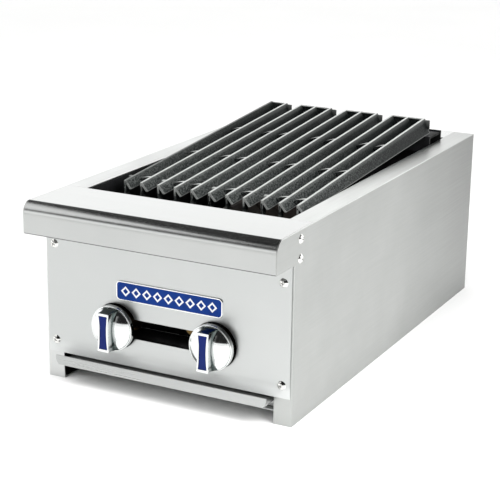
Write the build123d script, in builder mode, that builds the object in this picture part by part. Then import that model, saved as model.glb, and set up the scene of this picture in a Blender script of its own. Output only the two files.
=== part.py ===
from build123d import *
import os
from math import cos, radians, sin, sqrt

# A countertop gas charbroiler with two burners, drawn at its real size in millimetres.
# +X is to the right, +Y to the back and +Z up. The origin is on the surface that the
# charbroiler stands on, under the middle of its overall length and width.
# "behind" is a distance back from the outer face of the front panel.

# Driving dimensions of the body
body_width = 305.0
body_depth = 540.0
body_height = 212.6
sheet = 1.2
fold_radius = 1.0
inlet_reach = 25.0

# Front rail, the overhanging nose along the top of the front
rail_height = 35.2
rail_overhang = 40.2
rail_fold_setback = 11.0
rail_nose_height = 14.0
rail_lip_drop = 15.0
rail_return_end = 14.0

# Top opening and the flanges around it
rim_width = 27.0
opening_front = 43.8
opening_rear = 498.0
foot_width = 20.8
panel_bottom = 31.1

# Firebox
liner_sheet = 1.2
liner_top = body_height - 1.6
liner_bottom = 66.0
liner_front_behind = 75.0
liner_rear_behind = 487.2
liner_rear_top = 224.0

# Cooking grates
grate_blades = (2, 3, 3, 3)
blade_pitch = 21.5
section_step = 22.3
last_ridge_x = 109.9
ridge_front = (93.5, 213.2)
ridge_rear = (465.5, 242.4)
blade_front_height = 10.0
blade_rear_height = 19.0

# Gas train
knob_x = 61.4
knob_z = 75.2
pipe_radius = 13.0
inlet_radius = 13.335
inlet_land = 24.0
manifold_behind = 40.0
manifold_z = 48.0
feed_x = 108.0
stem_radius = 3.0
stem_clearance = 0.05

# Drip tray
tray_half_width = 128.0
tray_lip_half_width = 131.0
tray_lip_behind = -16.0
tray_lip_bottom = 23.0
tray_lip_top = 33.8
tray_floor = 13.0
tray_wall_top = 30.0
tray_step_behind = 16.0
tray_rear_behind = 505.0

# Fasteners
screw_head_radius = 5.2
screw_head_height = 2.6
screw_shank_radius = 2.4
screw_hole_radius = 2.6
screw_length = 9.0
front_screw_x = 140.8
front_screw_heights = (157.4, 45.2)
side_screw_behind = 14.5
side_screw_heights = (202.3, 181.4)
rear_screw_heights = (30.0, 110.0, 190.0)

overcut = 1.0
half_width = body_width / 2
opening_half = half_width - rim_width
foot_inner = half_width - foot_width
rail_bottom = body_height - rail_height
panel_y = -(body_depth + inlet_reach - rail_overhang) / 2
back_inner = body_depth - sheet

os.makedirs("parts", exist_ok=True)


def behind(distance):
    """Y of a place that is this far behind the front panel's outer face."""
    return panel_y + distance


def across(distance):
    """Plane seen from the front (x right, z up), this far behind the front panel."""
    return Plane.XZ.offset(-behind(distance))


def save(part, name):
    """Label a finished piece and write it to its own file."""
    part.label = name
    export_step(part, f"parts/{name}.step")


def block(low, high, mode=Mode.ADD):
    """A box between two corners, each given as (x, distance behind, z)."""
    size = [b - a for a, b in zip(low, high)]
    middle = [(a + b) / 2 for a, b in zip(low, high)]
    with Locations((middle[0], behind(middle[1]), middle[2])):
        Box(*size, mode=mode)


def bore_y(x, z, radius, start, end, mode=Mode.SUBTRACT):
    """A cylinder along Y between two distances behind the front panel."""
    with Locations(Location((x, behind((start + end) / 2), z), (90, 0, 0))):
        Cylinder(radius, end - start, mode=mode)


def bore_x(distance, z, radius, start, end, mode=Mode.SUBTRACT):
    """A cylinder along X between two x values."""
    with Locations(Location(((start + end) / 2, behind(distance), z), (0, 90, 0))):
        Cylinder(radius, end - start, mode=mode)


# ---- Body sheets ----

def side_panel(side, name):
    """Bent sheet: wall with rail end cap, top rim, foot flange, base flange and rear flange."""
    wall_start = half_width - sheet if side > 0 else -half_width

    def flange(reach, low, high):
        """A flange that runs in from the wall; low and high are (distance behind, z)."""
        x_range = sorted((side * (half_width - sheet), side * reach))
        block((x_range[0], low[0], low[1]), (x_range[1], high[0], high[1]))

    with BuildPart() as panel:
        with BuildSketch(Plane.YZ.offset(wall_start)):
            with BuildLine():
                nose = TangentArc(
                    (behind(-rail_overhang), body_height - rail_nose_height),
                    (behind(-rail_overhang + rail_fold_setback), body_height),
                    tangent=(0, 1),
                )
                Polyline(
                    nose @ 1,
                    (behind(back_inner), body_height),
                    (behind(back_inner), 0),
                    (behind(sheet), 0),
                    (behind(sheet), rail_bottom),
                    (behind(-rail_overhang), rail_bottom),
                    nose @ 0,
                )
            make_face()
        extrude(amount=sheet)
        flange(opening_half, (opening_front, body_height - sheet), (back_inner, body_height))
        flange(foot_inner, (sheet, 0), (2 * sheet, rail_bottom))
        flange(foot_inner, (sheet, 0), (back_inner, sheet))
        flange(foot_inner, (back_inner - sheet, 0), (back_inner, body_height))
        folds = panel.edges().filter_by_position(Axis.X, side * half_width - 0.01, side * half_width + 0.01)
        top_fold = folds.filter_by(Axis.Y).filter_by_position(Axis.Z, body_height - 0.01, body_height + 0.01)
        foot_fold = folds.filter_by(Axis.Z).filter_by_position(Axis.Y, behind(sheet) - 0.01, behind(sheet) + 0.01)
        fillet(top_fold + foot_fold, fold_radius)
        for height in front_screw_heights:
            bore_y(side * front_screw_x, height, screw_hole_radius, 0, 3 * sheet)
        for height in side_screw_heights:
            bore_x(
                side_screw_behind,
                height,
                screw_hole_radius,
                side * half_width - 2 * sheet,
                side * half_width + 2 * sheet,
            )
        for height in rear_screw_heights:
            bore_y(side * front_screw_x, height, screw_hole_radius, back_inner - 2 * sheet, back_inner + sheet)
    save(panel.part, name)


side_panel(-1, "side_panel_left")
side_panel(1, "side_panel_right")

# The front rail is one sheet folded into a nose, with tabs at both ends for the side screws.
nose_radius = (rail_fold_setback**2 + rail_nose_height**2) / (2 * rail_fold_setback)
nose_centre = (-rail_overhang + nose_radius, body_height - rail_nose_height)
inner_nose = nose_radius - sheet
inner_rise = rail_nose_height - sheet
tab_front = 6.0
tab_rear = 26.0
with BuildPart() as front_rail:
    with BuildSketch(Plane.YZ.offset(-(half_width - sheet))):
        with BuildLine():
            outer_nose = TangentArc(
                (behind(-rail_overhang), nose_centre[1]),
                (behind(-rail_overhang + rail_fold_setback), body_height),
                tangent=(0, 1),
            )
            inside_nose = TangentArc(
                (behind(-rail_overhang + sheet), nose_centre[1]),
                (behind(nose_centre[0] - sqrt(inner_nose**2 - inner_rise**2)), body_height - sheet),
                tangent=(0, 1),
            )
            Polyline(
                outer_nose @ 1,
                (behind(opening_front), body_height),
                (behind(opening_front), body_height - rail_lip_drop),
                (behind(opening_front - sheet), body_height - rail_lip_drop),
                (behind(opening_front - sheet), body_height - sheet),
                inside_nose @ 1,
            )
            Polyline(
                inside_nose @ 0,
                (behind(-rail_overhang + sheet), rail_bottom + sheet),
                (behind(rail_return_end), rail_bottom + sheet),
                (behind(rail_return_end), rail_bottom),
                (behind(-rail_overhang), rail_bottom),
                outer_nose @ 0,
            )
        make_face()
    extrude(amount=body_width - 2 * sheet)
    for side in (-1, 1):
        tab_x = sorted((side * (half_width - 2 * sheet), side * (half_width - sheet)))
        block((tab_x[0], tab_front, rail_bottom), (tab_x[1], tab_rear, body_height - sheet))
        for height in side_screw_heights:
            bore_x(side_screw_behind, height, screw_hole_radius, tab_x[0] - overcut, tab_x[1] + overcut)
save(front_rail.part, "front_rail")

# The front panel has one cut-out for both knobs and the slot between them.
panel_half = half_width - 2.0
panel_fold_rear = 12.0
knob_hole_radius = 26.0
slot_half_height = 11.1
fold_half = foot_inner - sheet
with BuildPart() as front_panel:
    with BuildSketch(across(0)):
        with Locations((0, (panel_bottom + rail_bottom) / 2)):
            Rectangle(2 * panel_half, rail_bottom - panel_bottom)
        with Locations((-knob_x, knob_z), (knob_x, knob_z)):
            Circle(knob_hole_radius, mode=Mode.SUBTRACT)
        with Locations((0, knob_z)):
            Rectangle(2 * knob_x, 2 * slot_half_height, mode=Mode.SUBTRACT)
        with Locations((0, sum(front_screw_heights) / 2)):
            with GridLocations(2 * front_screw_x, front_screw_heights[0] - front_screw_heights[1], 2, 2):
                Circle(screw_hole_radius, mode=Mode.SUBTRACT)
    extrude(amount=-sheet)
    block((-fold_half, sheet, rail_bottom - sheet), (fold_half, panel_fold_rear, rail_bottom))
    block((-fold_half, sheet, panel_bottom), (fold_half, panel_fold_rear, panel_bottom + sheet))
save(front_panel.part, "front_panel")

# The back panel closes the rear and folds forward at the top as the rear rim.
inlet_hole_radius = 16.0
with BuildPart() as back_panel:
    block((-half_width, back_inner, 0), (half_width, body_depth, body_height))
    block((-opening_half, opening_rear, body_height - sheet), (opening_half, back_inner, body_height))
    block(
        (-opening_half, opening_rear, body_height - rail_lip_drop),
        (opening_half, opening_rear + sheet, body_height - sheet),
    )
    rear_top = back_panel.edges().filter_by(Axis.X).filter_by_position(Axis.Z, body_height - 0.01, body_height + 1)
    fillet(rear_top.sort_by(Axis.Y)[-1], fold_radius)
    bore_y(feed_x, manifold_z, inlet_hole_radius, back_inner - overcut, body_depth + overcut)
    for side in (-1, 1):
        for height in rear_screw_heights:
            bore_y(side * front_screw_x, height, screw_hole_radius, back_inner - overcut, body_depth + overcut)
save(back_panel.part, "back_panel")

# An angle ties the two base flanges together at the rear.
base_rail_front = 508.0
base_rail_rear = 533.0
base_rail_top = 9.0
with BuildPart() as rear_base_rail:
    rail_half = half_width - sheet
    block((-rail_half, base_rail_front, sheet), (rail_half, base_rail_rear, 2 * sheet))
    block((-rail_half, base_rail_rear - sheet, 2 * sheet), (rail_half, base_rail_rear, base_rail_top))
save(rear_base_rail.part, "rear_base_rail")

# ---- Drip tray and its runners ----

runner_top = tray_floor - 0.3
runner_inner = 112.0
runner_front = 8.0
runner_rear = 530.0


def tray_runner(side, name):
    """Angle on the inside of a side wall that the tray slides on."""
    wall = side * (half_width - sheet)
    leg = sorted((wall, side * runner_inner))
    upright = sorted((wall, wall - side * sheet))
    with BuildPart() as runner:
        block((leg[0], runner_front, runner_top - sheet), (leg[1], runner_rear, runner_top))
        block((upright[0], runner_front, runner_top), (upright[1], runner_rear, tray_wall_top))
    save(runner.part, name)


tray_runner(-1, "tray_runner_left")
tray_runner(1, "tray_runner_right")

lip_corner = 7.0
with BuildPart() as drip_tray:
    block((-tray_half_width, tray_step_behind, tray_floor), (tray_half_width, tray_rear_behind, tray_wall_top))
    block(
        (-tray_half_width + sheet, tray_step_behind + sheet, tray_floor + sheet),
        (tray_half_width - sheet, tray_rear_behind - sheet, tray_wall_top + overcut),
        mode=Mode.SUBTRACT,
    )
    block(
        (-tray_half_width, tray_step_behind - overcut, tray_lip_bottom + sheet),
        (tray_half_width, tray_step_behind + 2 * sheet, tray_wall_top + overcut),
        mode=Mode.SUBTRACT,
    )
    block(
        (-tray_half_width, tray_lip_behind, tray_lip_bottom),
        (tray_half_width, tray_step_behind + sheet, tray_lip_bottom + sheet),
    )
    with BuildSketch(across(tray_lip_behind)):
        with Locations((0, (tray_lip_bottom + tray_lip_top) / 2)):
            lip = Rectangle(2 * tray_lip_half_width, tray_lip_top - tray_lip_bottom)
        fillet(lip.vertices().group_by(Axis.Y)[0], lip_corner)
    extrude(amount=-sheet)
save(drip_tray.part, "drip_tray")

# ---- Firebox ----

liner_inner = opening_half - liner_sheet
liner_flange = 14.0
shelf_drop = 45.0
shelf_front = opening_front + 4.0


def side_liner(side, name):
    """Dark sheet that hangs under a side rim by its top flange."""
    wall = sorted((side * opening_half, side * liner_inner))
    top = sorted((side * liner_inner, side * (opening_half + liner_flange)))
    with BuildPart() as liner:
        block(
            (wall[0], liner_front_behind, liner_bottom),
            (wall[1], liner_rear_behind, liner_top),
        )
        block((wall[0], opening_front, liner_top - shelf_drop), (wall[1], liner_front_behind, liner_top))
        block((top[0], opening_front, liner_top - liner_sheet), (top[1], liner_rear_behind, liner_top))
    save(liner.part, name)


side_liner(-1, "firebox_liner_left")
side_liner(1, "firebox_liner_right")

mixer_radius = 18.0
mixer_gap = 0.4
front_liner_foot = 48.0
front_liner_foot_right = 86.0
pilot_hole = (16.5, 82.5, 7.0)
with BuildPart() as firebox_liner_front:
    block(
        (-liner_inner, liner_front_behind, liner_bottom),
        (liner_inner, liner_front_behind + liner_sheet, liner_top - shelf_drop),
    )
    block(
        (-liner_inner, liner_front_behind, front_liner_foot),
        (front_liner_foot_right, liner_front_behind + liner_sheet, liner_bottom),
    )
    block(
        (-liner_inner, shelf_front, liner_top - shelf_drop - liner_sheet),
        (liner_inner, liner_front_behind, liner_top - shelf_drop),
    )
    liner_cut = (liner_front_behind - overcut, liner_front_behind + liner_sheet + overcut)
    for x in (-knob_x, knob_x):
        bore_y(x, knob_z, mixer_radius + mixer_gap, *liner_cut)
    bore_y(*pilot_hole, *liner_cut)
save(firebox_liner_front.part, "firebox_liner_front")

rear_liner_foot = 61.5
with BuildPart() as firebox_liner_rear:
    block(
        (-opening_half, liner_rear_behind, rear_liner_foot),
        (opening_half, liner_rear_behind + liner_sheet, liner_rear_top),
    )
save(firebox_liner_rear.part, "firebox_liner_rear")

rest_sheet = 3.0
rest_drop = 20.0


def grate_rest(start, end, top, name):
    """Angle across the firebox, from start to end, that one end of the grates lies on."""
    with BuildPart() as rest:
        block((-liner_inner, start, top - rest_sheet), (liner_inner, end, top))
        block((-liner_inner, start, top - rest_drop), (liner_inner, start + rest_sheet, top - rest_sheet))
    save(rest.part, name)


grate_rest(97.0, 106.0, 190.0, "front_grate_rest")
grate_rest(450.0, liner_rear_behind, 222.2, "rear_grate_rest")

# Ledges that the radiants sit on, one at each end of the firebox.
ledge_top = 114.0
ledge_reach = 26.0
ledge_sheet = 2.0
for name, start in (
    ("radiant_ledge_front", liner_front_behind + liner_sheet),
    ("radiant_ledge_rear", liner_rear_behind - ledge_reach),
):
    with BuildPart() as ledge:
        block((-liner_inner, start, ledge_top - ledge_sheet), (liner_inner, start + ledge_reach, ledge_top))
    save(ledge.part, name)

# ---- Radiants, one cast tent over each burner ----

radiant_front = 84.0
radiant_rear = 480.0
radiant_half = 42.0
radiant_peak = 150.0
radiant_wall = 4.0
radiant_slots = 13
radiant_end_plain = 30.0
ridge_half = 4.0
foot_thickness = 5.0
roof_thickness = 5.0
slot_width = 7.0
slot_reach = (12.0, 34.0)


def radiant(x, name):
    """Cast tent with a row of flame slots down each slope."""
    with BuildPart() as tent:
        with BuildSketch(across(radiant_front)):
            with BuildLine():
                Polyline(
                    (x - radiant_half, ledge_top),
                    (x - radiant_half, ledge_top + radiant_wall),
                    (x - ridge_half, radiant_peak),
                    (x + ridge_half, radiant_peak),
                    (x + radiant_half, ledge_top + radiant_wall),
                    (x + radiant_half, ledge_top),
                    (x + radiant_half - foot_thickness, ledge_top),
                    (x + ridge_half / 2, radiant_peak - roof_thickness),
                    (x - ridge_half / 2, radiant_peak - roof_thickness),
                    (x - radiant_half + foot_thickness, ledge_top),
                    close=True,
                )
            make_face()
        extrude(amount=-(radiant_rear - radiant_front))
        step = (radiant_rear - radiant_front - 2 * radiant_end_plain) / (radiant_slots - 1)
        for side in (-1, 1):
            for number in range(radiant_slots):
                start = radiant_front + radiant_end_plain + number * step - slot_width / 2
                slot_x = sorted(x + side * reach for reach in slot_reach)
                block((slot_x[0], start, ledge_top), (slot_x[1], start + slot_width, radiant_peak), mode=Mode.SUBTRACT)
    save(tent.part, name)


radiant(-knob_x, "radiant_left")
radiant(knob_x, "radiant_right")

# ---- Burners with their air shutters and orifices ----

mixer_front = 62.0
tube_radius = 14.0
tube_wall = 2.0
tube_rear = 468.0
throat_radius = 11.0
bell_length = 13.0
throat_start = 34.0
throat_end = 44.0
flare_end = 62.0
first_port = 80.0
port_rows = 306.0
port_count = 24
port_radius = 1.6
port_lean = 35.0


def burner(x, name):
    """Turned burner: mixing bell at the front, then a closed tube with two rows of ports."""
    with BuildPart() as part:
        axis_plane = Plane(origin=(x, 0, knob_z), x_dir=(0, 1, 0), z_dir=(1, 0, 0))
        with BuildSketch(axis_plane):
            with BuildLine():
                Polyline(
                    (behind(mixer_front), mixer_radius - tube_wall),
                    (behind(mixer_front), mixer_radius),
                    (behind(mixer_front + bell_length), mixer_radius),
                    (behind(mixer_front + throat_start), throat_radius),
                    (behind(mixer_front + throat_end), throat_radius),
                    (behind(mixer_front + flare_end), tube_radius),
                    (behind(tube_rear), tube_radius),
                    (behind(tube_rear), 0),
                    (behind(tube_rear - tube_wall), 0),
                    (behind(tube_rear - tube_wall), tube_radius - tube_wall),
                    (behind(mixer_front + flare_end), tube_radius - tube_wall),
                    (behind(mixer_front + throat_end), throat_radius - tube_wall),
                    (behind(mixer_front + throat_start), throat_radius - tube_wall),
                    (behind(mixer_front + bell_length), mixer_radius - tube_wall),
                    close=True,
                )
            make_face()
        revolve(axis=Axis((x, 0, knob_z), (0, 1, 0)))
        pitch = port_rows / (port_count - 1)
        for lean in (-port_lean, port_lean):
            for number in range(port_count):
                place = (x, behind(mixer_front + first_port + number * pitch), knob_z)
                with Locations(Location(place, (0, lean, 0))):
                    Cylinder(
                        port_radius,
                        tube_radius + overcut,
                        align=(Align.CENTER, Align.CENTER, Align.MIN),
                        mode=Mode.SUBTRACT,
                    )
    save(part.part, name)


collar_wall = 1.5
collar_front = mixer_front - 6.0
collar_rear = mixer_front + 9.0
collar_hole = 8.5
window_count = 3
window_radius = 3.6
window_orbit = 13.0


def air_shutter(x, name):
    """Collar that turns on the mixing bell, with three air windows."""
    with BuildPart() as collar:
        bore_y(x, knob_z, mixer_radius + collar_wall, collar_front, collar_rear, mode=Mode.ADD)
        bore_y(x, knob_z, mixer_radius + stem_clearance, mixer_front, collar_rear)
        bore_y(x, knob_z, collar_hole, collar_front, mixer_front)
        for number in range(window_count):
            turn = radians(90 + number * 360 / window_count)
            window = (x + window_orbit * cos(turn), knob_z + window_orbit * sin(turn))
            bore_y(*window, window_radius, collar_front, mixer_front)
    save(collar.part, name)


hood_front = 47.0
hood_shoulder = 54.0
hood_tip = 60.0
hood_radius = 7.0
jet_nose_radius = 3.5
jet_radius = 0.8


def orifice(x, name):
    """Brass hood that screws on the valve's outlet and points into the burner."""
    with BuildPart() as hood:
        with BuildSketch(Plane(origin=(x, 0, knob_z), x_dir=(0, 1, 0), z_dir=(1, 0, 0))):
            with BuildLine():
                Polyline(
                    (behind(hood_front), 0),
                    (behind(hood_front), hood_radius),
                    (behind(hood_shoulder), hood_radius),
                    (behind(hood_tip - 1), jet_nose_radius),
                    (behind(hood_tip), jet_nose_radius),
                    (behind(hood_tip), 0),
                    close=True,
                )
            make_face()
        revolve(axis=Axis((x, 0, knob_z), (0, 1, 0)))
        bore_y(x, knob_z, jet_radius, hood_front + 3, hood_tip + overcut)
    save(hood.part, name)


for side, hand in ((-1, "left"), (1, "right")):
    burner(side * knob_x, f"burner_{hand}")
    air_shutter(side * knob_x, f"air_shutter_{hand}")
    orifice(side * knob_x, f"orifice_{hand}")

burner_rest_half = 92.0
burner_rest_front = 452.0
burner_rest_top = knob_z - tube_radius - 0.3
with BuildPart() as burner_rest:
    block(
        (-burner_rest_half, burner_rest_front, burner_rest_top - sheet),
        (burner_rest_half, liner_rear_behind, burner_rest_top),
    )
save(burner_rest.part, "burner_rest")

# ---- Gas supply: manifold, elbow, feed pipe to the rear inlet ----

pipe_bore = 10.5
spud_radius = 6.5
spud_bottom = manifold_z + 8.0
manifold_left = -96.0
manifold_right = 80.0
fitting_wall = 3.0
cap_front = 6.0
cap_length = 12.0
elbow_radius = 19.0
elbow_socket = 10.0
pilot_x = 22.0
pilot_spud_radius = 4.0
with BuildPart() as manifold_pipe:
    bore_x(manifold_behind, manifold_z, pipe_radius, manifold_left, manifold_right, mode=Mode.ADD)
    bore_x(manifold_behind, manifold_z, pipe_bore, manifold_left - overcut, manifold_right + overcut)
    for x, radius in ((-knob_x, spud_radius), (knob_x, spud_radius), (pilot_x, pilot_spud_radius)):
        with Locations((x, behind(manifold_behind), manifold_z)):
            Cylinder(
                radius,
                pipe_radius + overcut,
                align=(Align.CENTER, Align.CENTER, Align.MIN),
                mode=Mode.SUBTRACT,
            )
save(manifold_pipe.part, "manifold_pipe")

with BuildPart() as manifold_cap:
    cap_ends = (manifold_left - cap_front, manifold_left + cap_length)
    bore_x(manifold_behind, manifold_z, pipe_radius + fitting_wall, *cap_ends, mode=Mode.ADD)
    bore_x(manifold_behind, manifold_z, pipe_radius, manifold_left, cap_ends[1] + overcut)
save(manifold_cap.part, "manifold_cap")

feed_start = manifold_behind + feed_x - manifold_right
with BuildPart() as manifold_elbow:
    with BuildLine():
        bend = FilletPolyline(
            (manifold_right - elbow_socket, behind(manifold_behind), manifold_z),
            (feed_x, behind(manifold_behind), manifold_z),
            (feed_x, behind(feed_start + elbow_socket), manifold_z),
            radius=elbow_radius,
        )
    with BuildSketch(Plane(origin=bend @ 0, z_dir=bend % 0)):
        Circle(pipe_radius + fitting_wall)
    sweep()
    bore_x(manifold_behind, manifold_z, pipe_radius, manifold_right - elbow_socket - overcut, manifold_right)
    bore_y(feed_x, manifold_z, pipe_radius, feed_start, feed_start + elbow_socket + overcut)
save(manifold_elbow.part, "manifold_elbow")

with BuildPart() as gas_inlet_pipe:
    inlet_end = body_depth + inlet_reach
    bore_y(feed_x, manifold_z, pipe_radius, feed_start, inlet_end - inlet_land, mode=Mode.ADD)
    bore_y(feed_x, manifold_z, inlet_radius, inlet_end - inlet_land, inlet_end, mode=Mode.ADD)
    bore_y(feed_x, manifold_z, pipe_bore, feed_start - overcut, inlet_end + overcut)
save(gas_inlet_pipe.part, "gas_inlet_pipe")

# ---- Valves and stems ----

valve_front = 6.0
valve_nose_radius = 8.0
valve_body_radius = 12.0
valve_body_ends = (14.0, 44.0)
valve_outlet_radius = 6.0
valve_rear = 47.0
stem_tip = 22.0


def valve(x, name):
    """Brass plug valve: round body with a nose for the stem and a spud into the manifold."""
    with BuildPart() as body:
        bore_y(x, knob_z, valve_nose_radius, valve_front, valve_body_ends[0] + overcut, mode=Mode.ADD)
        bore_y(x, knob_z, valve_body_radius, *valve_body_ends, mode=Mode.ADD)
        bore_y(x, knob_z, valve_outlet_radius, valve_body_ends[1], valve_rear, mode=Mode.ADD)
        with Locations((x, behind(manifold_behind), spud_bottom)):
            Cylinder(spud_radius, knob_z - spud_bottom, align=(Align.CENTER, Align.CENTER, Align.MIN))
        bore_y(x, knob_z, stem_radius + stem_clearance, valve_front - overcut, stem_tip + overcut)
    save(body.part, name)


knob_hub_back = 2.0
knob_seat = -20.0


def valve_stem(x, name):
    """Round steel stem that joins the valve plug to the knob."""
    with BuildPart() as stem:
        bore_y(x, knob_z, stem_radius, knob_seat, stem_tip, mode=Mode.ADD)
    save(stem.part, name)


# ---- Knobs: a domed chrome disc with a waisted grip bar and a coloured strip ----

knob_radius = 25.7
hub_radius = 8.0
rim_thickness = 2.0
back_slope = 4.0
dome_waypoint_turn = 16.0
knob_rim_back = -6.0
knob_rim_front = -10.0
knob_dome = 7.5
knob_bar_front = -27.0
bar_half_length = 21.5
bar_end_half = 7.3
bar_waist_half = 6.4
bar_foot_half_length = 23.6
bar_foot_end_half = 8.8
bar_foot_waist_half = 6.9
strip_half_length = 18.6
strip_end_half = 5.2
strip_waist_half = 3.9
strip_depth = 0.8


def waisted(plane, x, half_length, end_half, waist_half):
    """Upright bar outline whose long sides curve in at the middle."""
    with BuildSketch(plane) as outline:
        with BuildLine():
            top = Line((x - end_half, knob_z + half_length), (x + end_half, knob_z + half_length))
            right = ThreePointArc(top @ 1, (x + waist_half, knob_z), (x + end_half, knob_z - half_length))
            bottom = Line(right @ 1, (x - end_half, knob_z - half_length))
            ThreePointArc(bottom @ 1, (x - waist_half, knob_z), top @ 0)
        make_face()
    return outline.sketch


def knob(x, name):
    """Chrome knob: hollow-backed dome, hub for the stem and grip bar with a recess."""
    with BuildPart() as body:
        with BuildSketch(Plane(origin=(x, 0, knob_z), x_dir=(0, 1, 0), z_dir=(1, 0, 0))):
            with BuildLine():
                back = Polyline(
                    (behind(knob_hub_back), 0),
                    (behind(knob_hub_back), hub_radius),
                    (behind(knob_rim_front), hub_radius),
                    (behind(knob_rim_front + 1), knob_radius - back_slope),
                    (behind(knob_rim_back), knob_radius - rim_thickness),
                    (behind(knob_rim_back), knob_radius),
                    (behind(knob_rim_front), knob_radius),
                )
                crown = behind(knob_rim_front - knob_dome)
                sagitta_radius = (knob_radius**2 + knob_dome**2) / (2 * knob_dome)
                half_angle = radians(dome_waypoint_turn)
                waypoint = (crown + sagitta_radius * (1 - cos(half_angle)), sagitta_radius * sin(half_angle))
                face = ThreePointArc(back @ 1, waypoint, (crown, 0))
                Line(face @ 1, back @ 0)
            make_face()
        revolve(axis=Axis((x, 0, knob_z), (0, 1, 0)))
        bar_foot = waisted(
            across(knob_rim_front), x, bar_foot_half_length, bar_foot_end_half, bar_foot_waist_half
        )
        bar_face = waisted(across(knob_bar_front), x, bar_half_length, bar_end_half, bar_waist_half)
        loft(sections=[bar_foot, bar_face])
        recess = waisted(across(knob_bar_front), x, strip_half_length, strip_end_half, strip_waist_half)
        extrude(recess, amount=-strip_depth, mode=Mode.SUBTRACT)
        bore_y(x, knob_z, stem_radius + stem_clearance, knob_seat, knob_hub_back + overcut)
    save(body.part, name)


def knob_insert(x, name):
    """Coloured strip that fills the recess in the grip bar."""
    with BuildPart() as strip:
        extrude(
            waisted(across(knob_bar_front), x, strip_half_length, strip_end_half, strip_waist_half),
            amount=-strip_depth,
        )
    save(strip.part, name)


for side, hand in ((-1, "left"), (1, "right")):
    valve(side * knob_x, f"valve_{hand}")
    valve_stem(side * knob_x, f"valve_stem_{hand}")
    knob(side * knob_x, f"knob_{hand}")
    knob_insert(side * knob_x, f"knob_insert_{hand}")

# ---- Pilot: valve on the manifold, tube and burner tip between the burners ----

pilot_z = 80.0
pilot_screw_radius = 5.5
pilot_body_radius = 5.0
pilot_valve_ends = (18.0, 34.0, 46.0)
driver_slot_half = 0.6
driver_slot_depth = 1.5
with BuildPart() as pilot_valve:
    bore_y(pilot_x, pilot_z, pilot_screw_radius, *pilot_valve_ends[:2], mode=Mode.ADD)
    bore_y(pilot_x, pilot_z, pilot_body_radius, *pilot_valve_ends[1:], mode=Mode.ADD)
    with Locations((pilot_x, behind(manifold_behind), spud_bottom)):
        Cylinder(pilot_spud_radius, pilot_z - spud_bottom, align=(Align.CENTER, Align.CENTER, Align.MIN))
    block(
        (pilot_x - pilot_screw_radius, pilot_valve_ends[0] - overcut, pilot_z - driver_slot_half),
        (pilot_x + pilot_screw_radius, pilot_valve_ends[0] + driver_slot_depth, pilot_z + driver_slot_half),
        mode=Mode.SUBTRACT,
    )
save(pilot_valve.part, "pilot_valve")

pilot_tube_radius = 3.175
pilot_tip = (0.0, 118.0, 90.0)
pilot_bend_ends = (66.0, 100.0)
pilot_bend_radius = 18.0
with BuildPart() as pilot_tube:
    with BuildLine():
        route = FilletPolyline(
            (pilot_x, behind(pilot_valve_ends[2]), pilot_z),
            (pilot_x, behind(pilot_bend_ends[0]), pilot_z),
            (pilot_tip[0], behind(pilot_bend_ends[1]), pilot_tip[2]),
            (pilot_tip[0], behind(pilot_tip[1]), pilot_tip[2]),
            radius=pilot_bend_radius,
        )
    with BuildSketch(Plane(origin=route @ 0, z_dir=route % 0)):
        Circle(pilot_tube_radius)
    sweep()
save(pilot_tube.part, "pilot_tube")

pilot_head_radius = 6.0
pilot_head_length = 16.0
pilot_wing = (12.0, 4.0)
pilot_wing_ends = (6.0, 14.0)
with BuildPart() as pilot_burner:
    bore_y(
        pilot_tip[0],
        pilot_tip[2],
        pilot_head_radius,
        pilot_tip[1],
        pilot_tip[1] + pilot_head_length,
        mode=Mode.ADD,
    )
    block(
        (-pilot_wing[0], pilot_tip[1] + pilot_wing_ends[0], pilot_tip[2] - pilot_wing[1]),
        (pilot_wing[0], pilot_tip[1] + pilot_wing_ends[1], pilot_tip[2] + pilot_wing[1]),
    )
save(pilot_burner.part, "pilot_burner")

# ---- Cooking grates ----

blade_half = 1.4
plate_reach = 8.6
plate_foot = 2.4
web_half = 1.1
tie_rows = (120.0, 229.0, 340.0)
tie_width = 4.5
tie_drop = 3.0
tie_foot = 0.6
rear_bar_width = 3.4
rear_bar_drop = 0.8
front_stub_reach = 10.0
front_stub_height = 4.0
leg_depth = 9.0
leg_foot_z = 190.4


def ridge_z(distance):
    """Height of a blade's ridge at this distance behind the front panel."""
    share = (distance - ridge_front[0]) / (ridge_rear[0] - ridge_front[0])
    return ridge_front[1] + share * (ridge_rear[1] - ridge_front[1])


def blade_height(distance):
    """Height of a blade at this distance behind the front panel."""
    share = (distance - ridge_front[0]) / (ridge_rear[0] - ridge_front[0])
    return blade_front_height + share * (blade_rear_height - blade_front_height)


def blade_section(x, distance):
    """A blade across its length: ridge, sloping plate to the right and thin upright web."""
    top = ridge_z(distance)
    height = blade_height(distance)
    fork = (plate_reach - plate_foot - web_half) * (height - blade_half) / (plate_reach - blade_half)
    with BuildSketch(across(distance)) as section:
        with BuildLine():
            Polyline(
                (x - blade_half, top),
                (x + blade_half, top),
                (x + plate_reach, top - height + blade_half),
                (x + plate_reach, top - height),
                (x + plate_reach - plate_foot, top - height),
                (x + web_half, top - height + fork),
                (x + web_half, top - height),
                (x - web_half, top - height),
                close=True,
            )
        make_face()
    return section.sketch


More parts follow.
